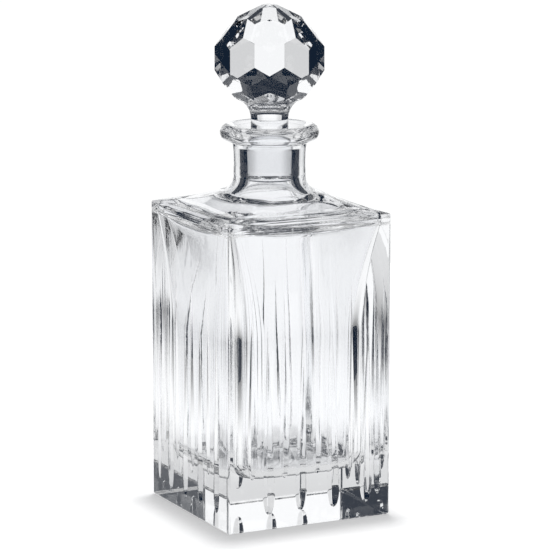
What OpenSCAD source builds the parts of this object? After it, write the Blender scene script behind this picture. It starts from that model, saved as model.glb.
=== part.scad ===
// Cut crystal decanter: a square mould-blown bottle with mitre cuts on its four faces,
// and a faceted ball stopper with a tapered plug that lifts out of the neck.
// The origin is the centre of the underside. +Z is up. Millimetres.

/* [Body] */
// Width of the square body, across opposite faces
body_w = 94; // [86:0.1:116]
// Height of the four pointed shoulder corners
corner_h = 160; // [133:1:195]
// Width of the ground flat on the four upright edges
edge_flat = 1.4; // [0.4:0.1:2]
// Chamfer around the underside
foot_chamfer = 1; // [0.4:0.1:2]

/* [Shoulder] */
// Angle at which the shoulder rises from each face
shoulder_angle = 16; // [12:0.5:18]
// Radius of the rounding at the middle of each top edge
roll_r = 8.3; // [5:0.1:9]
// Depth of that rounding below the shoulder corners
roll_drop = 6.2; // [5.5:0.1:8]
// Length of each top edge over which the rounding stays constant
roll_flat_l = 46; // [30:1:60]
// Angle of the round skirt around the neck
skirt_angle = 24; // [20:0.5:28]
// Radius of the hollow curve between the skirt and the neck
neck_fillet_r = 8; // [6:0.5:10]
// Height of that curve's centre above the shoulder corners
neck_fillet_rise = 16.4; // [15.5:0.1:18]

/* [Cavity] */
// Thickness of the solid glass foot
foot_t = 24; // [12:0.5:30]
// Wall thickness at the middle of each face
wall_t = 10; // [7:0.5:11]
// Thickness of the glass between the neck's curve and the throat
throat_t = 6.7; // [5:0.1:8]
// Depth of the cavity's outer ceiling below the shoulder corners
ceiling_drop = 6.5; // [6:0.1:9]
// Cut-back of the cavity's upright corners, measured on the diagonal
corner_relief = 5.8; // [4:0.1:9]
// Radius around the cavity's floor
floor_r = 9; // [5:0.5:12]
// Radius under the shoulder, around the cavity's ceiling
ceiling_r = 6; // [4:0.5:8]
// Height over which the cavity spreads into the shoulder corners
flare_h = 41; // [30:1:50]
// Spread of the cavity's faces at its ceiling
flare_out = 6.6; // [4:0.1:7]

/* [Neck] */
// Outer radius of the neck
neck_r = 19; // [15.5:0.5:20]
// Height of the crest of the lip above the shoulder corners
neck_l = 43.9; // [36:0.1:60]
// Outer radius of the lip
lip_r = 25.9; // [24:0.1:30]
// Radius of the lip's rounded section
lip_tube_r = 4.3; // [3:0.1:5]
// Height of the low collar under the lip
collar_h = 2.2; // [1.5:0.1:3]
// Projection of that collar from the neck
collar_out = 1.3; // [0.5:0.1:1.6]
// Radius of the mouth's funnel at its rim
mouth_r = 18.2; // [16:0.1:20]
// Depth of that rim below the crest
mouth_dish = 1; // [0.5:0.1:2]

/* [Cuts] */
// Number of deep cuts on a face, and of tall cuts
cut_n = 4; // [2:1:4]
// Distance between one cut and the next
cut_pitch = 9.4; // [9:0.1:11]
// Angle across the cutting wheel's edge
cut_angle = 110; // [90:1:125]
// Height of the deep cuts' lower points
deep_low = 8; // [5:0.5:12]
// Height at which the deep cuts are widest
deep_wide = 22; // [18:0.5:30]
// Distance of the deep cuts' upper points below the shoulder corners
deep_top_gap = 53; // [40:1:70]
// Depth of the deep cuts
deep_d = 2.3; // [1.2:0.1:3]
// Height of the tall cuts' lower points
tall_low = 27; // [22:0.5:40]
// Height at which the tall cuts are widest
tall_wide = 46; // [42:0.5:60]
// Distance of the tall cuts' upper points below the shoulder corners
tall_top_gap = 32; // [20:1:50]
// Depth of the tall cuts
tall_d = 1.9; // [1:0.1:2.4]

/* [Stopper] */
// Distance between opposite facets around the ball's middle
ball_across = 52.6; // [50:0.1:54]
// Height of the ball's middle above the lip's crest
ball_rise = 34.2; // [32:0.1:40]
// Distance of the top facet from the ball's middle
crown_d = 27.8; // [27:0.1:28.6]
// Tilt of the facets next to the ball's middle
side_tilt = 37.7; // [35:0.1:40]
// Tilt of the facets next to the crown
crown_tilt = 62.7; // [60:0.1:65]
// Radius of the plug at the top of its ground seat
plug_r = 12.5; // [10:0.1:13.5]
// Depth of the ground seat's top below the lip's crest
plug_drop = 12.5; // [10:0.1:14]
// Length of the ground seat
plug_l = 16.5; // [12:0.1:22]
// Loss of plug radius for each millimetre of the seat
plug_taper = 0.02; // [0.01:0.005:0.04]
// Radial gap between the seated plug and the bore
plug_gap = 0.1; // [0.05:0.01:0.2]
// Bevel around the plug's lower end
plug_bevel = 0.8; // [0.3:0.1:1.5]
// Radius of the stem above the plug
stem_r = 9.8; // [8:0.1:10.5]
// Depth at which the plug's waist reaches the stem, below the lip's crest
waist_drop = 2.5; // [1:0.1:6]
// Radius of the hollow curve between the stem and the ball
stem_fillet_r = 11.5; // [8:0.5:12]
// Height of the straight stem above the lip's crest
stem_l = 2.6; // [2:0.1:5]

/* [Hidden] */
$fn = 96;

overcut = 2;
half_w = body_w / 2;
corner_reach = half_w * sqrt(2);
lip_h = corner_h + neck_l;
fillet_x = neck_r + neck_fillet_r;
fillet_h = corner_h + neck_fillet_rise;
skirt_x = fillet_x - neck_fillet_r * sin(skirt_angle);
skirt_h = fillet_h - neck_fillet_r * cos(skirt_angle);

// The cavity, worked out from the outer form and the wall thicknesses
bore_r = plug_r + plug_gap;
cavity_half = half_w - wall_t;
cavity_reach = cavity_half * sqrt(2) - corner_relief;
ceiling_h = corner_h - ceiling_drop;
flare_low = ceiling_h - flare_h;
flare_reach = (cavity_half + flare_out) * sqrt(2) - corner_relief / 2;
seat_h = lip_h - plug_drop;
throat_r = bore_r - plug_taper * (seat_h - fillet_h);
throat_fillet_r = neck_fillet_r + throat_t;
throat_fillet_x = throat_r + throat_fillet_r;
roof_x = throat_fillet_x - throat_fillet_r * sin(skirt_angle);
roof_h = fillet_h - throat_fillet_r * cos(skirt_angle);

lip_x = lip_r - lip_tube_r;
lip_mid_h = lip_h - lip_tube_r;
collar_top = lip_mid_h - lip_tube_r;
mouth_low = lip_h - mouth_dish;

roll_mid_h = corner_h - roll_drop;
roll_end_r = sqrt(pow(roll_r, 2) + pow(roll_drop, 2));
roll_side_l = half_w - roll_flat_l / 2;
roll_rise = roll_end_r - roll_r;
roll_spread_r = (pow(roll_side_l, 2) + pow(roll_rise, 2)) / (2 * roll_rise);

// Small differences between one hand-made cut and the next
hand_shift = [0, 4, -3, 2];

ball_h = lip_h + ball_rise;
facet_d = ball_across / 2;
ball_block = ball_across;
facet_n = 8;
facet_step = 360 / facet_n;
ridge_turn = 18.8;
plug_low = seat_h - plug_l;
plug_end_r = plug_r - plug_taper * plug_l;

// Extrudes a side outline both ways and keeps what the two share
module square_form() {
    intersection() {
        rotate([90, 0, 0])
            linear_extrude(height = body_w, center = true)
                children();
        rotate([90, 0, 90])
            linear_extrude(height = body_w, center = true)
                children();
    }
}

// Side outline of the body block, with its foot chamfer
module block_outline() {
    foot_half = half_w - foot_chamfer;
    polygon([
        [-foot_half, 0], [foot_half, 0], [half_w, foot_chamfer],
        [half_w, lip_h], [-half_w, lip_h], [-half_w, foot_chamfer]
    ]);
}

// Solid body block up to the shoulder, with ground upright edges
module block() {
    diagonal_w = 2 * (corner_reach - edge_flat / 2);
    intersection() {
        square_form()
            block_outline();
        rotate([0, 0, 45])
            translate([-diagonal_w / 2, -diagonal_w / 2, 0])
                cube([diagonal_w, diagonal_w, lip_h]);
        union() {
            four_slopes();
            rotate_extrude()
                skirt_outline();
        }
    }
}

// Everything under the shoulder's four slopes, which rise from the top edges of the faces
module four_slopes() {
    difference() {
        cube([2 * body_w, 2 * body_w, 2 * lip_h], center = true);
        for (turn = [0 : 90 : 270])
            rotate([0, 0, turn])
                translate([0, -half_w, corner_h])
                    rotate([shoulder_angle, 0, 0])
                        translate([-body_w, -body_w, 0])
                            cube([2 * body_w, 3 * body_w, lip_h]);
    }
}

// Turned outline of the skirt, which turns the four slopes into the round neck
module skirt_outline() {
    skirt_end_x = skirt_x + (skirt_h - corner_h) / tan(skirt_angle);
    polygon([
        [0, 0], [skirt_end_x, 0], [skirt_end_x, corner_h],
        [skirt_x, skirt_h], [0, skirt_h]
    ]);
    difference() {
        translate([0, skirt_h - overcut])
            square([skirt_x, fillet_h - skirt_h + overcut]);
        translate([fillet_x, fillet_h])
            circle(r = neck_fillet_r);
    }
}

// Rounding bar for one top edge: straight in the middle, wider towards both corners
module roll_bar_outline() {
    translate([0, -half_w])
        square([roll_r, body_w]);
    for (side = [-1, 1])
        difference() {
            translate([0, side > 0 ? roll_flat_l / 2 : -half_w])
                square([roll_end_r, roll_side_l]);
            translate([roll_r + roll_spread_r, side * roll_flat_l / 2])
                circle(r = roll_spread_r, $fn = 360);
        }
}

// What the rounding takes off one top edge
module roll_cutter() {
    axis_y = roll_r - half_w;
    difference() {
        translate([-half_w - overcut, -half_w - overcut, roll_mid_h])
            cube([body_w + 2 * overcut, roll_r + overcut, roll_r + roll_drop]);
        translate([0, axis_y, roll_mid_h])
            rotate([0, 90, 0])
                rotate_extrude()
                    roll_bar_outline();
    }
}

// Outer form of the neck and its rounded lip
module neck() {
    rotate_extrude() {
        translate([0, corner_h])
            square([neck_r, lip_mid_h - corner_h]);
        translate([neck_r - overcut, collar_top - collar_h / 2])
            square([overcut, lip_tube_r + collar_h / 2]);
        translate([neck_r + collar_out - collar_h / 2, collar_top])
            circle(r = collar_h / 2);
        translate([0, lip_mid_h])
            square([lip_x, lip_tube_r]);
        translate([neck_r, collar_top])
            square([lip_x - neck_r, lip_tube_r]);
        translate([lip_x, lip_mid_h])
            circle(r = lip_tube_r);
    }
}

// Hollow of the body: square with spread shoulders, trimmed round at its corners
module cavity() {
    intersection() {
        square_form()
            cavity_side_outline();
        rotate_extrude()
            cavity_turned_outline();
    }
}

// Side outline of the cavity, which widens below the shoulder
module cavity_side_outline() {
    top_half = cavity_half + flare_out;
    polygon([
        [-cavity_half, foot_t], [cavity_half, foot_t],
        [cavity_half, flare_low], [top_half, ceiling_h],
        [top_half, fillet_h], [-top_half, fillet_h],
        [-top_half, ceiling_h], [-cavity_half, flare_low]
    ]);
}

// Turned outline of the cavity, from its floor to the throat under the neck
module cavity_turned_outline() {
    floor_half = cavity_reach - floor_r;
    top_x = flare_reach - ceiling_r;
    translate([0, foot_t])
        square([floor_half, floor_r + overcut]);
    translate([floor_half, foot_t + floor_r])
        circle(r = floor_r);
    translate([0, foot_t + floor_r])
        square([cavity_reach, flare_low - foot_t - floor_r]);
    polygon([
        [0, flare_low], [cavity_reach, flare_low],
        [flare_reach, ceiling_h - ceiling_r], [0, ceiling_h - ceiling_r]
    ]);
    translate([0, ceiling_h - ceiling_r - overcut])
        square([top_x, ceiling_r + overcut]);
    translate([top_x, ceiling_h - ceiling_r])
        circle(r = ceiling_r);
    polygon([
        [0, ceiling_h - overcut], [top_x, ceiling_h - overcut], [top_x, ceiling_h],
        [roof_x, roof_h], [0, roof_h]
    ]);
    difference() {
        translate([0, roof_h - overcut])
            square([roof_x, fillet_h - roof_h + overcut]);
        translate([throat_fillet_x, fillet_h])
            circle(r = throat_fillet_r);
    }
}

// Tapered bore of the neck and the funnel of its mouth
module bore() {
    rotate_extrude()
        polygon([
            [0, fillet_h - overcut], [throat_r, fillet_h - overcut],
            [throat_r, fillet_h], [bore_r, seat_h],
            [mouth_r, mouth_low], [lip_x, lip_h],
            [lip_x, lip_h + overcut], [0, lip_h + overcut]
        ]);
}

// Wedge with its edge at the origin, leaning into the face above or below it
module wheel_wedge(lean, length) {
    reach = 3 * deep_d;
    rotate([lean, 0, 0])
        linear_extrude(height = 2 * length, center = true)
            polygon([
                [0, 0],
                [-reach * tan(cut_angle / 2), -reach],
                [reach * tan(cut_angle / 2), -reach]
            ]);
}

// One mitre cut: a long fine upper point and a short lower point
module mitre_cut(low, wide, high, depth) {
    up = high - wide;
    down = wide - low;
    intersection() {
        translate([0, depth, wide])
            wheel_wedge(atan(depth / up), up + down);
        translate([0, depth, wide])
            wheel_wedge(-atan(depth / down), up + down);
    }
}

// The cuts of one face, tall and deep in turn
module face_cuts() {
    first_x = -cut_pitch * (cut_n - 0.5);
    translate([0, -half_w, 0])
        for (i = [0 : cut_n - 1]) {
            shift = hand_shift[i];
            translate([first_x + 2 * i * cut_pitch, 0, 0])
                mitre_cut(tall_low, tall_wide, corner_h - tall_top_gap - shift, tall_d);
            translate([first_x + (2 * i + 1) * cut_pitch, 0, 0])
                mitre_cut(deep_low, deep_wide, corner_h - deep_top_gap + shift, deep_d);
        }
}

module bottle() {
    color("aliceblue")
        difference() {
            union() {
                difference() {
                    block();
                    for (turn = [0 : 90 : 270])
                        rotate([0, 0, turn])
                            roll_cutter();
                }
                neck();
            }
            cavity();
            bore();
            for (turn = [0 : 90 : 270])
                rotate([0, 0, turn])
                    face_cuts();
        }
}

// Takes everything beyond one facet off the ball's block
module facet_cutter(turn, tilt, distance) {
    rotate([0, -tilt, turn])
        translate([distance, -ball_block, -ball_block])
            cube(2 * ball_block);
}

// Ball of flat facets: five rows of eight, each row half a step from the next
module ball() {
    half_step = facet_step / 2;
    difference() {
        translate([-ball_block, -ball_block, -ball_block])
            cube([2 * ball_block, 2 * ball_block, ball_block + crown_d]);
        for (i = [0 : facet_n - 1]) {
            turn = ridge_turn + i * facet_step;
            facet_cutter(turn + half_step, 0, facet_d);
            for (side = [-1, 1]) {
                facet_cutter(turn, side * side_tilt, facet_d);
                facet_cutter(turn + half_step, side * crown_tilt, facet_d);
            }
        }
    }
}

// Tapered plug, its waist, the stem and the hollow curve that spreads to the ball
module plug() {
    stem_top = lip_h + stem_l;
    spread_w = stem_fillet_r * 0.7;
    spread_h = stem_fillet_r * 0.95;
    rotate_extrude() {
        polygon([
            [0, plug_low], [plug_end_r - plug_bevel, plug_low],
            [plug_end_r, plug_low + plug_bevel], [plug_r, seat_h],
            [stem_r, lip_h - waist_drop], [stem_r, stem_top], [0, stem_top]
        ]);
        difference() {
            translate([0, stem_top])
                square([stem_r + spread_w, spread_h]);
            translate([stem_r + stem_fillet_r, stem_top])
                circle(r = stem_fillet_r);
        }
    }
}

module stopper() {
    color("aliceblue") {
        translate([0, 0, ball_h])
            ball();
        plug();
    }
}

bottle();
stopper();
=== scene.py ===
import math
import random

import bmesh
import bpy
from mathutils import Matrix, Vector


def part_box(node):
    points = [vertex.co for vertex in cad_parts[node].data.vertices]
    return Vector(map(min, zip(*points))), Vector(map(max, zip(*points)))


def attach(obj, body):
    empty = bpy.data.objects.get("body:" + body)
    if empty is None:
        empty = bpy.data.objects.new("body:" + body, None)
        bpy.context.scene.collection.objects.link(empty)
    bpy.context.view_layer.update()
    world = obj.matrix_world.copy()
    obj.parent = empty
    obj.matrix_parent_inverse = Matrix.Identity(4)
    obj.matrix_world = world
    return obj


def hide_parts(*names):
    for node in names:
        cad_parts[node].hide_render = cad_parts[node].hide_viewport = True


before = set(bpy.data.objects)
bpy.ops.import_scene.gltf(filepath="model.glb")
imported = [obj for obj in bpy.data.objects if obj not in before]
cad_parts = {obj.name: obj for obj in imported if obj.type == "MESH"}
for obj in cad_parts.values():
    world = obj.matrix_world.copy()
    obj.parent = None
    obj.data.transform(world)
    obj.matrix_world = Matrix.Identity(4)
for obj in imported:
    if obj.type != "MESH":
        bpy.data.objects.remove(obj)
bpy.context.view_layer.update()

# ---------------------------------------------------------------- sizes, in millimetres
MM = 0.001

bottle_low, bottle_high = [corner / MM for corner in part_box("bottle")]
stopper_low, stopper_high = [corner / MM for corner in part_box("stopper")]

half_w = bottle_high.x
lip_h = bottle_high.z
corner_h = lip_h - 43.9
foot_t = 24.0

edge_r = 1.5
foot_bevel = 1.0

shoulder_angle = math.radians(16)
roll_r = 8.3
roll_drop = 6.2
roll_least = 0.14

neck_r = 19.0
neck_waist = 0.3
skirt_angle = math.radians(24)
neck_fillet_r = 8.0
fillet_x = neck_r + neck_fillet_r
fillet_h = corner_h + 16.4
skirt_x = fillet_x - neck_fillet_r * math.sin(skirt_angle)
skirt_h = fillet_h - neck_fillet_r * math.cos(skirt_angle)

lip_r = 25.9
lip_tube_r = 4.3
lip_x = lip_r - lip_tube_r
lip_mid_h = lip_h - lip_tube_r
collar_r = 1.1
collar_x = neck_r + 0.6

stem_r = 9.8
waist_drop = 2.5
plug_r = 12.5
plug_top_h = lip_h - 12.5
plug_gap = 0.1
plug_taper = 0.02
plug_low_h = stopper_low.z
bore_r = plug_r + plug_gap

wall_t = 10.0
cavity_half = half_w - wall_t
cavity_top_half = 43.6
cavity_edge_r = 14.0
cavity_top_edge_r = 4.0
floor_r = 10.0
floor_dish = 1.0
cavity_roll_r = 3.6
cavity_corner_roll_r = 1.6
cavity_roll_drop = 2.8
cavity_corner_roll_drop = 2.2
roof_t = 6.5
flare_low = 98.0
flare_bend = 1.8
throat_t = neck_r - bore_r + 0.3
throat_fillet_r = neck_fillet_r + throat_t
throat_r = fillet_x - throat_fillet_r

ball_across = 52.6
crown_d = 27.8
ball_h = stopper_high.z - crown_d
side_tilt = math.radians(37.7)
crown_tilt = math.radians(62.7)
ridge_turn = math.radians(18.8)
facet_n = 8
stem_l = 2.6
stem_fillet_r = 11.5
plug_bevel = 0.8

side_steps = 24
edge_steps = 10
quarter_steps = side_steps + edge_steps
columns_around = 4 * quarter_steps

cut_n = 4
cut_pitch = 9.4
cut_angle = math.radians(110)
hand_shift = [0, 4, -3, 2]
hand_seed = 11
hand_aside = 0.5
hand_lean = 0.012
hand_low = 0.5
hand_tip = 3
hand_depth = 0.12
half_profile = [(1.2, -0.05), (1.0, 0.015), (0.9, 0.07), (0.76, 0.2), (0.1, 0.86), (0.04, 0.9)]
cut_profile = [(-across, sink) for across, sink in half_profile]
cut_profile += [(across, sink) for across, sink in reversed(half_profile)]
tool_back = 4.0
deep_cut = {"low": 8.0, "wide": 22.0, "high": corner_h - 53.0, "depth": 2.3}
tall_cut = {"low": 27.0, "wide": 46.0, "high": corner_h - 32.0, "depth": 1.9}

# ---------------------------------------------------------------- small tools


def arc(x, h, r, start, end, steps):
    """Points (radius, height) along an arc, with its angles measured from outwards to up."""
    points = []
    for i in range(steps + 1):
        a = math.radians(start + (end - start) * i / steps)
        points.append((x + r * math.cos(a), h + r * math.sin(a)))
    return points


def smooth_max(a, b, blend):
    return (a + b + math.sqrt((a - b) ** 2 + blend**2)) / 2


def mix(a, b, t):
    return a + (b - a) * t


def ease(t):
    return t * t * (3 - 2 * t)


def turned(bm, steps, levels):
    """A tube with one ring of points for each level, ready to be put in place."""
    line = [bm.verts.new((1, 0, level)) for level in range(levels)]
    edges = [bm.edges.new(pair) for pair in zip(line, line[1:])]
    bmesh.ops.spin(
        bm, geom=line + edges, cent=(0, 0, 0), axis=(0, 0, 1), dvec=(0, 0, 0),
        angle=math.tau, steps=steps, use_merge=True, use_normal_flip=False, use_duplicate=False,
    )


def close_ends(bm):
    """Puts a flat face over each open end of a tube."""
    open_edges = [e for e in bm.edges if e.is_boundary]
    bmesh.ops.edgeloop_fill(bm, edges=open_edges)
    bmesh.ops.recalc_face_normals(bm, faces=bm.faces)


def add_piece(name, bm):
    """Scales a finished bmesh from millimetres to metres and puts it in the scene."""
    bmesh.ops.scale(bm, vec=(MM, MM, MM), verts=bm.verts)
    mesh = bpy.data.meshes.new(name)
    bm.to_mesh(mesh)
    bm.free()
    piece = bpy.data.objects.new(name, mesh)
    bpy.context.scene.collection.objects.link(piece)
    return piece


def combine(piece, tool, operation):
    """Cuts or joins two closed pieces for good, and removes the tool."""
    modifier = piece.modifiers.new("work", "BOOLEAN")
    modifier.operation = operation
    modifier.solver = "EXACT"
    modifier.object = tool
    bpy.context.view_layer.update()
    depsgraph = bpy.context.evaluated_depsgraph_get()
    mesh = bpy.data.meshes.new_from_object(piece.evaluated_get(depsgraph))
    piece.modifiers.clear()
    piece.data = mesh
    bpy.data.objects.remove(tool)


def polish(piece, sharp_angle):
    """Smooth shading that keeps the ground edges crisp and the flat faces flat."""
    for polygon in piece.data.polygons:
        polygon.use_smooth = True
    piece.data.set_sharp_from_angle(angle=math.radians(sharp_angle))
    normals = piece.modifiers.new("flat faces stay flat", "WEIGHTED_NORMAL")
    normals.keep_sharp = True
    normals.weight = 100


# ---------------------------------------------------------------- bottle


def shoulder_height(x, y):
    """Height of the shoulder: four slopes that meet in soft hips and turn into a round skirt."""
    a, b = abs(x), abs(y)
    hip_blend = 16 * (1 - max(a, b) / half_w)
    inward = half_w - smooth_max(a, b, hip_blend)
    slope = corner_h + inward * math.tan(shoulder_angle)
    skirt = skirt_h - (math.hypot(x, y) - skirt_x) * math.tan(skirt_angle)
    return smooth_max(slope, skirt, 1.0)


def around(k, half, corner_r):
    """Place k on a round-cornered square: point, outward way, corner share and the neck's angle."""
    quarter, i = divmod(k, quarter_steps)
    out = Vector((math.cos(quarter * math.pi / 2), math.sin(quarter * math.pi / 2)))
    side = Vector((-out.y, out.x))
    flat_half = half - corner_r
    angle = (quarter + (i - side_steps / 2) / quarter_steps) * math.pi / 2
    if i <= side_steps:
        share = math.sin((2 * i / side_steps - 1) * math.pi / 2)
        return out * half + side * flat_half * share, out, abs(share), angle
    turn = (i - side_steps) / edge_steps * math.pi / 2
    way = out * math.cos(turn) + side * math.sin(turn)
    return (out + side) * flat_half + way * corner_r, way, 1.0, angle


def around_body(k):
    return around(k, half_w, edge_r)


def round_point(k, r, h):
    angle = around_body(k)[3]
    return (r * math.cos(angle), r * math.sin(angle), h)


def outer_levels():
    """Levels of the body from the underside to the skirt, each a function of the place around."""
    levels = []

    def foot(inset, height):
        def place(k):
            point, out, share, angle = around_body(k)
            spot = point - out * foot_bevel * inset
            return (spot.x, spot.y, foot_bevel * height)
        return place

    def roll(turn):
        def place(k):
            point, out, share, angle = around_body(k)
            size = mix(roll_least, 1, 1 - share**3)
            spot = point - out * roll_r * size * (1 - math.cos(turn))
            height = corner_h + size * (roll_r * math.sin(turn) - roll_drop)
            return (spot.x, spot.y, height)
        return place

    def shoulder(t):
        def place(k):
            x, y, h = roll(math.pi / 2 - shoulder_angle)(k)
            angle = around_body(k)[3]
            spot = Vector((x, y)).lerp(Vector((skirt_x * math.cos(angle), skirt_x * math.sin(angle))), t)
            return (spot.x, spot.y, mix(shoulder_height(spot.x, spot.y), skirt_h, t**6))
        return place

    for inset, height in ((1.15, 0), (0.9, 0.05), (0.05, 0.9), (0, 1.15)):
        levels.append(foot(inset, height))
    roll_steps = 10
    for i in range(roll_steps + 1):
        levels.append(roll((math.pi / 2 - shoulder_angle) * i / roll_steps))
    shoulder_steps = 14
    for i in range(1, shoulder_steps + 1):
        levels.append(shoulder(i / shoulder_steps))
    return levels


def neck_line():
    """Outline of the neck, collar, lip, mouth and bore, as (radius, height) points."""
    start = -90 - math.degrees(skirt_angle)
    line = arc(fillet_x, fillet_h, neck_fillet_r, start, -180, 8)[1:]
    collar_h = lip_mid_h - lip_tube_r
    neck_steps = 6
    for i in range(1, neck_steps):
        t = i / neck_steps
        h = mix(fillet_h, collar_h - 2 * collar_r, t)
        line.append((neck_r - neck_waist * math.sin(math.pi * t), h))
    line += arc(collar_x, collar_h, collar_r, -100, 0, 5)
    line += arc(lip_x, lip_mid_h, lip_tube_r, -105, 140, 24)
    x, h = line[-1]
    mouth_steps = 12
    for i in range(1, mouth_steps + 1):
        t = i / mouth_steps
        line.append((mix(x, bore_r, t**0.8), mix(h, plug_top_h, t**1.5)))
    bore_steps = 4
    for i in range(1, bore_steps + 1):
        t = i / bore_steps
        line.append((mix(bore_r, throat_r, t), mix(plug_top_h, fillet_h, t)))
    return line + arc(fillet_x, fillet_h, throat_fillet_r, 180, 270 - math.degrees(skirt_angle), 10)[1:]


def hollow_levels():
    """Levels of the hollow from the throat down to the floor, each a function of the place around."""
    levels = []
    throat_x, throat_h = neck_line()[-1]

    def roll(turn):
        def place(k):
            point, out, share, angle = around(k, cavity_top_half, cavity_top_edge_r)
            size = mix(roll_least, 1, 1 - share**3)
            r = mix(cavity_corner_roll_r, cavity_roll_r, size)
            centre_h = corner_h - size * roll_drop - mix(cavity_corner_roll_drop, cavity_roll_drop, size)
            spot = point - out * r * (1 - math.cos(turn))
            return (spot.x, spot.y, centre_h + r * math.sin(turn))
        return place

    def roof(t):
        def place(k):
            x, y, h = roll(math.pi / 2 - shoulder_angle)(k)
            angle = around_body(k)[3]
            rim = Vector((throat_x * math.cos(angle), throat_x * math.sin(angle)))
            spot = rim.lerp(Vector((x, y)), t)
            near_edge = shoulder_height(spot.x, spot.y) - (shoulder_height(x, y) - h)
            near_neck = shoulder_height(spot.x, spot.y) - mix(roof_t, throat_t, (1 - t) ** 2)
            height = mix(near_neck, near_edge, t**2)
            return (spot.x, spot.y, mix(throat_h, height, ease(min(1, 2 * t))))
        return place

    def wall(t):
        def place(k):
            top = roll(0)(k)[2]
            half = mix(cavity_half, cavity_top_half, t**flare_bend)
            point = around(k, half, mix(cavity_edge_r, cavity_top_edge_r, t**1.5))[0]
            return (point.x, point.y, mix(flare_low, top, t))
        return place

    def straight(h):
        def place(k):
            point = around(k, cavity_half, cavity_edge_r)[0]
            return (point.x, point.y, h)
        return place

    def floor(half, h):
        def place(k):
            point = around(k, half, min(cavity_edge_r, half - 0.2))[0]
            return (point.x, point.y, h)
        return place

    roof_steps = 14
    for i in range(1, roof_steps):
        levels.append(roof(i / roof_steps))
    roll_steps = 7
    for i in range(roll_steps + 1):
        levels.append(roll((math.pi / 2 - shoulder_angle) * (1 - i / roll_steps)))
    flare_steps = 16
    for i in range(1, flare_steps + 1):
        levels.append(wall(1 - i / flare_steps))
    wall_steps = 6
    for i in range(1, wall_steps + 1):
        levels.append(straight(mix(flare_low, foot_t + floor_r, i / wall_steps)))
    for r, h in arc(cavity_half - floor_r, foot_t + floor_r, floor_r, 0, -90, 8)[1:]:
        levels.append(floor(r, h))
    floor_steps = 8
    for i in range(1, floor_steps + 1):
        t = i / floor_steps
        levels.append(floor(mix(cavity_half - floor_r, 1.0, t), foot_t - floor_dish * ease(t)))
    return levels


def bottle_blank():
    """The blown bottle before it is cut: underside, walls, shoulder, neck, lip and hollow in one skin."""
    outer = outer_levels()
    neck = neck_line()
    hollow = hollow_levels()
    bm = bmesh.new()
    turned(bm, columns_around, len(outer) + len(neck) + len(hollow))
    for vert in bm.verts:
        level = round(vert.co.z)
        k = round(math.atan2(vert.co.y, vert.co.x) / math.tau * columns_around) % columns_around
        if level < len(outer):
            vert.co = outer[level](k)
        elif level < len(outer) + len(neck):
            vert.co = round_point(k, *neck[level - len(outer)])
        else:
            vert.co = hollow[level - len(outer) - len(neck)](k)
    close_ends(bm)
    return add_piece("crystal_bottle", bm)


def mitre_cutter(bm, turn, x, lean, low, wide, high, depth):
    """One cut: a polished V that widens and sinks in from both of its points, as a closed tool."""
    steps_below, steps_above = 12, 28
    rows = steps_below + steps_above
    columns = len(cut_profile) - 1
    spread = math.tan(cut_angle / 2)
    grid = bmesh.ops.create_grid(bm, x_segments=columns, y_segments=rows, size=1)["verts"]
    for vert in grid:
        across, sink = cut_profile[round((vert.co.x + 1) / 2 * columns)]
        row = round((vert.co.y + 1) / 2 * rows)
        if row <= steps_below:
            t = row / steps_below
            height = mix(low, wide, t * t)
            size = depth * (1 - (1 - t) ** 2)
        else:
            t = (row - steps_below) / steps_above
            height = mix(wide, high, t)
            size = depth * (1 - t)
        drift = lean * (height - low)
        vert.co = (x + drift + across * size * spread, -half_w + size * sink, height)
    faces = list({face for vert in grid for face in vert.link_faces})
    back = bmesh.ops.extrude_face_region(bm, geom=faces)["geom"]
    back = [v for v in back if isinstance(v, bmesh.types.BMVert)]
    for vert in back:
        vert.co.y = -half_w - tool_back
    bmesh.ops.rotate(
        bm, verts=grid + back, cent=(0, 0, 0), matrix=Matrix.Rotation(turn * math.pi / 2, 3, "Z"),
    )


def cutting_wheels():
    """All the cuts of the four faces as one tool, each a little off, as a hand leaves them."""
    hand = random.Random(hand_seed)
    bm = bmesh.new()
    first_x = -cut_pitch * (cut_n - 0.5)
    for turn in range(4):
        for i in range(cut_n):
            for cut, offset, sign in ((tall_cut, 0, -1), (deep_cut, 1, 1)):
                mitre_cutter(
                    bm, turn,
                    first_x + (2 * i + offset) * cut_pitch + hand.uniform(-hand_aside, hand_aside),
                    hand.uniform(-hand_lean, hand_lean),
                    cut["low"] + hand.uniform(-hand_low, hand_low),
                    cut["wide"],
                    cut["high"] + sign * hand_shift[i] + hand.uniform(-hand_tip, hand_tip),
                    cut["depth"] * hand.uniform(1 - hand_depth, 1 + hand_depth),
                )
    bmesh.ops.recalc_face_normals(bm, faces=bm.faces)
    return add_piece("cutting_wheels", bm)


def make_bottle():
    bottle = bottle_blank()
    combine(bottle, cutting_wheels(), "DIFFERENCE")
    polish(bottle, 18)
    return bottle


# ---------------------------------------------------------------- stopper


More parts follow.
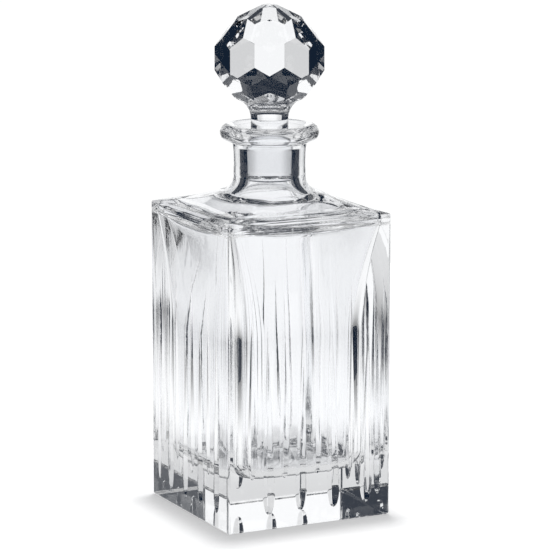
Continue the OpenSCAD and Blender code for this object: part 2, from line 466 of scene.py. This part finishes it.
def ball_of_facets():
    """Ball ground flat in five rows of eight facets, each row half a step from the next."""
    bm = bmesh.new()
    bmesh.ops.create_cube(bm, size=2 * ball_across)
    planes = [(Vector((0, 0, 1)), crown_d), (Vector((0, 0, -1)), crown_d)]
    step = math.tau / facet_n
    for i in range(facet_n):
        for tilt, turn in (
            (0, 0.5), (side_tilt, 0), (-side_tilt, 0), (crown_tilt, 0.5), (-crown_tilt, 0.5),
        ):
            a = ridge_turn + (i + turn) * step
            flat = math.cos(tilt)
            planes.append((Vector((flat * math.cos(a), flat * math.sin(a), math.sin(tilt))), ball_across / 2))
    for normal, distance in planes:
        geometry = bm.verts[:] + bm.edges[:] + bm.faces[:]
        cut = bmesh.ops.bisect_plane(
            bm, geom=geometry, dist=1e-5, plane_co=normal * distance, plane_no=normal, clear_outer=True,
        )
        rim = [e for e in cut["geom_cut"] if isinstance(e, bmesh.types.BMEdge)]
        bmesh.ops.edgeloop_fill(bm, edges=[e for e in rim if e.is_boundary])
    bmesh.ops.translate(bm, vec=(0, 0, ball_h), verts=bm.verts)
    bmesh.ops.recalc_face_normals(bm, faces=bm.faces)
    return add_piece("crystal_stopper", bm)


def plug_and_stem():
    """Tapered plug, the waist above it and the hollow curve that spreads into the ball."""
    end_r = plug_r - plug_taper * (plug_top_h - plug_low_h)
    line = [(end_r - plug_bevel - 2, plug_low_h), (end_r - plug_bevel, plug_low_h)]
    line += [(end_r, plug_low_h + plug_bevel), (plug_r, plug_top_h)]
    waist_steps = 10
    for i in range(1, waist_steps + 1):
        t = i / waist_steps
        line.append((mix(plug_r, stem_r, ease(t)), mix(plug_top_h, lip_h - waist_drop, t)))
    line.append((stem_r, lip_h + stem_l))
    line += arc(stem_r + stem_fillet_r, lip_h + stem_l, stem_fillet_r, 180, 108, 12)[1:]
    bm = bmesh.new()
    turned(bm, 96, len(line))
    for vert in bm.verts:
        r, h = line[round(vert.co.z)]
        vert.co = (vert.co.x * r, vert.co.y * r, h)
    close_ends(bm)
    return add_piece("plug_and_stem", bm)


def make_stopper():
    stopper = ball_of_facets()
    combine(stopper, plug_and_stem(), "UNION")
    polish(stopper, 15)
    return stopper


# ---------------------------------------------------------------- materials


def add_math(tree, operation, first, second):
    node = tree.nodes.new("ShaderNodeMath")
    node.operation = operation
    for socket, value in zip(node.inputs, (first, second)):
        if hasattr(value, "is_linked"):
            tree.links.new(value, socket)
        else:
            socket.default_value = value
    return node.outputs[0]


def fade(tree, value, start, end, at_start, at_end):
    """Soft step from one brightness to another."""
    node = tree.nodes.new("ShaderNodeMapRange")
    node.interpolation_type = "SMOOTHSTEP"
    tree.links.new(value, node.inputs["Value"])
    node.inputs["From Min"].default_value = start * MM
    node.inputs["From Max"].default_value = end * MM
    node.inputs["To Min"].default_value = at_start
    node.inputs["To Max"].default_value = at_end
    return node.outputs[0]


def noise(tree, where, stretch, detail):
    turn = tree.nodes.new("ShaderNodeMapping")
    turn.inputs["Scale"].default_value = stretch
    tree.links.new(where, turn.inputs["Vector"])
    texture = tree.nodes.new("ShaderNodeTexNoise")
    texture.inputs["Scale"].default_value = 1.0
    texture.inputs["Detail"].default_value = detail
    tree.links.new(turn.outputs["Vector"], texture.inputs["Vector"])
    return texture.outputs["Fac"]


def add_bump(tree, height, depth_mm, under=None):
    node = tree.nodes.new("ShaderNodeBump")
    node.inputs["Strength"].default_value = 1.0
    node.inputs["Distance"].default_value = depth_mm * MM
    tree.links.new(height, node.inputs["Height"])
    if under is not None:
        tree.links.new(under, node.inputs["Normal"])
    return node.outputs["Normal"]


crystal_tint = (0.985, 0.99, 1.0, 1)
crystal_ior = 1.545
swell_depth = 0.07
ripple_depth = 0.004
chill_depth = 2.0


def crystal(name):
    """Colourless lead crystal, fire polished, with the faint swell of hand-worked glass."""
    material = bpy.data.materials.new(name)
    material.use_nodes = True
    tree = material.node_tree
    shader = tree.nodes["Principled BSDF"]
    shader.inputs["Base Color"].default_value = crystal_tint
    shader.inputs["IOR"].default_value = crystal_ior
    shader.inputs["Transmission Weight"].default_value = 1.0
    where = tree.nodes.new("ShaderNodeTexCoord").outputs["Object"]
    smudges = noise(tree, where, (90, 90, 60), 3.0)
    gloss = fade(tree, smudges, 0.5 / MM, 0.8 / MM, 0.0, 0.01)
    tree.links.new(gloss, shader.inputs["Roughness"])
    swell = add_bump(tree, noise(tree, where, (55, 55, 28), 1.0), swell_depth)
    normal = add_bump(tree, noise(tree, where, (420, 420, 260), 2.0), ripple_depth, swell)
    if name == "bottle_crystal":
        # Chill lines, only on the rolled top edges of the body
        parts = tree.nodes.new("ShaderNodeSeparateXYZ")
        tree.links.new(where, parts.inputs["Vector"])
        out = add_math(
            tree, "MAXIMUM",
            add_math(tree, "ABSOLUTE", parts.outputs["X"], 0.0),
            add_math(tree, "ABSOLUTE", parts.outputs["Y"], 0.0),
        )
        band = add_math(
            tree, "MULTIPLY",
            fade(tree, out, half_w - 11, half_w - 8, 0.0, 1.0),
            fade(tree, parts.outputs["Z"], corner_h - 6, corner_h - 4, 0.0, 1.0),
        )
        chill = add_math(tree, "MULTIPLY", noise(tree, where, (9, 9, 520), 0.5), band)
        normal = add_bump(tree, chill, chill_depth, normal)
    tree.links.new(normal, shader.inputs["Normal"])
    return material


# ---------------------------------------------------------------- studio

view_azimuth = math.radians(-26.211)
view_elevation = math.radians(10.531)
view_distance = 1615.1
view_lens = 201.6
view_aim_h = 130.0
view_shift_right = 2.85
view_shift_up = -6.09

back_dir = Vector((
    math.sin(view_azimuth) * math.cos(view_elevation),
    -math.cos(view_azimuth) * math.cos(view_elevation),
    math.sin(view_elevation),
))
right_dir = Vector((math.cos(view_azimuth), math.sin(view_azimuth), 0))
up_dir = back_dir.cross(right_dir)


def add_camera():
    camera = bpy.data.objects.new("camera", bpy.data.cameras.new("camera"))
    aim = Vector((0, 0, view_aim_h)) + right_dir * view_shift_right + up_dir * view_shift_up
    place = Vector((0, 0, view_aim_h)) + back_dir * view_distance
    camera.location = place * MM
    camera.rotation_euler = (aim - place).to_track_quat("-Z", "Y").to_euler()
    camera.data.lens = view_lens
    camera.data.sensor_width = 36
    camera.data.clip_start = 0.01
    bpy.context.scene.collection.objects.link(camera)
    bpy.context.scene.camera = camera


def studio_place(tree):
    """Place on the stage as (across, behind, up), in the studio's own turn, and distance from the middle."""
    where = tree.nodes.new("ShaderNodeTexCoord").outputs["Object"]
    turn = tree.nodes.new("ShaderNodeMapping")
    turn.vector_type = "TEXTURE"
    turn.inputs["Rotation"].default_value = (0, 0, view_azimuth)
    tree.links.new(where, turn.inputs["Vector"])
    parts = tree.nodes.new("ShaderNodeSeparateXYZ")
    tree.links.new(turn.outputs["Vector"], parts.inputs["Vector"])
    length = tree.nodes.new("ShaderNodeVectorMath")
    length.operation = "LENGTH"
    tree.links.new(where, length.inputs[0])
    return parts.outputs["X"], parts.outputs["Y"], parts.outputs["Z"], length.outputs["Value"]


def white_paper(name, paleness, glow, painted_glass_light):
    """Paper that is clean white to look at, and glows with painted light and painted shade where the glass
    sees it.
    """
    material = bpy.data.materials.new(name)
    material.use_nodes = True
    tree = material.node_tree
    shader = tree.nodes["Principled BSDF"]
    shader.inputs["Base Color"].default_value = (paleness, paleness, paleness, 1)
    shader.inputs["Roughness"].default_value = 0.7
    shader.inputs["Specular IOR Level"].default_value = 0.0
    shader.inputs["Emission Color"].default_value = (1, 1, 1, 1)
    shader.inputs["Emission Strength"].default_value = glow
    if painted_glass_light is None:
        return material
    # Painted light and shade: an emission seen only by rays from the glass, standing in for the lit paper
    painted_glow = tree.nodes.new("ShaderNodeEmission")
    painted_glow.inputs["Color"].default_value = (0.99, 0.995, 1.0, 1)
    tree.links.new(painted_glass_light(tree), painted_glow.inputs["Strength"])
    path = tree.nodes.new("ShaderNodeLightPath")
    either = tree.nodes.new("ShaderNodeMixShader")
    tree.links.new(path.outputs["Is Camera Ray"], either.inputs["Fac"])
    tree.links.new(painted_glow.outputs["Emission"], either.inputs[1])
    tree.links.new(shader.outputs["BSDF"], either.inputs[2])
    tree.links.new(either.outputs["Shader"], tree.nodes["Material Output"].inputs["Surface"])
    return material


def table_painted_shade(tree):
    """Painted shade for the glass: a painted shadow round the foot, and darker towards both sides where less
    light falls.
    """
    across, behind, up, distance = studio_place(tree)
    # Painted shadow of the decanter on the table, round its foot
    near = fade(tree, distance, 60, 220, 0.74, 1.04)
    # Painted shade towards the sides of the table
    aside = fade(tree, add_math(tree, "ABSOLUTE", across, 0.0), 200, 370, 1.0, 0.25)
    return add_math(tree, "MULTIPLY", near, aside)


def backdrop_painted_light(tree):
    """Painted light: brightest in the middle, a little softer towards both sides."""
    across, behind, up, distance = studio_place(tree)
    return fade(tree, add_math(tree, "ABSOLUTE", across, 0.0), 130, 300, 1.04, 0.74)


def add_sheet(name, outline, left, right, material, seen=False):
    """Paper sheet: an outline of (distance behind the decanter, height) points, swept across."""
    bm = bmesh.new()
    line = [bm.verts.new((left, y, h)) for y, h in outline]
    edges = [bm.edges.new(pair) for pair in zip(line, line[1:])]
    made = bmesh.ops.extrude_edge_only(bm, edges=edges)
    verts = [v for v in made["geom"] if isinstance(v, bmesh.types.BMVert)]
    bmesh.ops.translate(bm, vec=(right - left, 0, 0), verts=verts)
    bmesh.ops.rotate(bm, verts=bm.verts, cent=(0, 0, 0), matrix=Matrix.Rotation(view_azimuth, 3, "Z"))
    sheet = add_piece(name, bm)
    sheet.visible_camera = seen
    sheet.data.materials.append(material)


def add_shadow_light(place, size, power):
    """Light straight down for the table alone: it draws the soft shadow without a glint in the glass."""
    light = bpy.data.objects.new("table_light", bpy.data.lights.new("table_light", "AREA"))
    light.data.shape = "RECTANGLE"
    light.data.size, light.data.size_y = size[0] * MM, size[1] * MM
    light.data.energy = power
    light.location = Matrix.Rotation(view_azimuth, 3, "Z") @ Vector(place) * MM
    light.rotation_euler = (0, 0, view_azimuth)
    light.visible_glossy = False
    light.visible_transmission = False
    bpy.context.scene.collection.objects.link(light)


table_half_w = 370
table_front = -420
table_back = 700
table_low = -0.2
table_pale = 0.8
table_glow = 0.52
backdrop_half_w = 400
backdrop_h = 425
backdrop_glow = 1.03
ceiling_glow = 0.45
fill_glow = 0.6
shadow_power = 8.6
shadow_place = (0, 80, 1200)
shadow_size = (120, 160)
room_colour = (0.25, 0.5, 1.0, 1)
room_dark = 0.03


def add_studio():
    add_sheet("white_table", [(table_front, table_low), (table_back, table_low)], -table_half_w, table_half_w,
              white_paper("table_paper", table_pale, table_glow, table_painted_shade), seen=True)
    add_sheet("bright_backdrop", [(table_back, table_low), (table_back, backdrop_h)],
              -backdrop_half_w, backdrop_half_w,
              white_paper("backdrop_paper", 0.0, backdrop_glow, backdrop_painted_light))
    add_sheet("ceiling_softbox", [(-400, 1300), (900, 1300)], -400, 1000,
              white_paper("ceiling_cloth", 0.0, ceiling_glow, None))
    add_sheet("front_softbox", [(-1500, 1000), (-1300, 1500)], -700, 700,
              white_paper("front_cloth", 0.0, fill_glow, None))
    add_shadow_light(shadow_place, shadow_size, shadow_power)
    world = bpy.data.worlds.new("studio")
    bpy.context.scene.world = world
    world.use_nodes = True
    tree = world.node_tree
    background = tree.nodes["Background"]
    background.inputs["Color"].default_value = room_colour
    background.inputs["Strength"].default_value = room_dark
    surround = tree.nodes.new("ShaderNodeBackground")
    surround.inputs["Color"].default_value = (1, 1, 1, 1)
    surround.inputs["Strength"].default_value = backdrop_glow
    path = tree.nodes.new("ShaderNodeLightPath")
    either = tree.nodes.new("ShaderNodeMixShader")
    tree.links.new(path.outputs["Is Camera Ray"], either.inputs["Fac"])
    tree.links.new(background.outputs["Background"], either.inputs[1])
    tree.links.new(surround.outputs["Background"], either.inputs[2])
    tree.links.new(either.outputs["Shader"], tree.nodes["World Output"].inputs["Surface"])
    scene = bpy.context.scene
    scene.view_settings.view_transform = "Standard"
    scene.cycles.max_bounces = 32
    scene.cycles.transmission_bounces = 32
    scene.cycles.glossy_bounces = 16
    scene.cycles.diffuse_bounces = 3
    scene.cycles.caustics_refractive = False
    scene.cycles.caustics_reflective = False


bottle = make_bottle()
bottle.data.materials.append(crystal("bottle_crystal"))
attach(bottle, "bottle")
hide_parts("bottle")

stopper = make_stopper()
stopper.data.materials.append(crystal("stopper_crystal"))
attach(stopper, "stopper")
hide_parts("stopper")

add_camera()
add_studio()
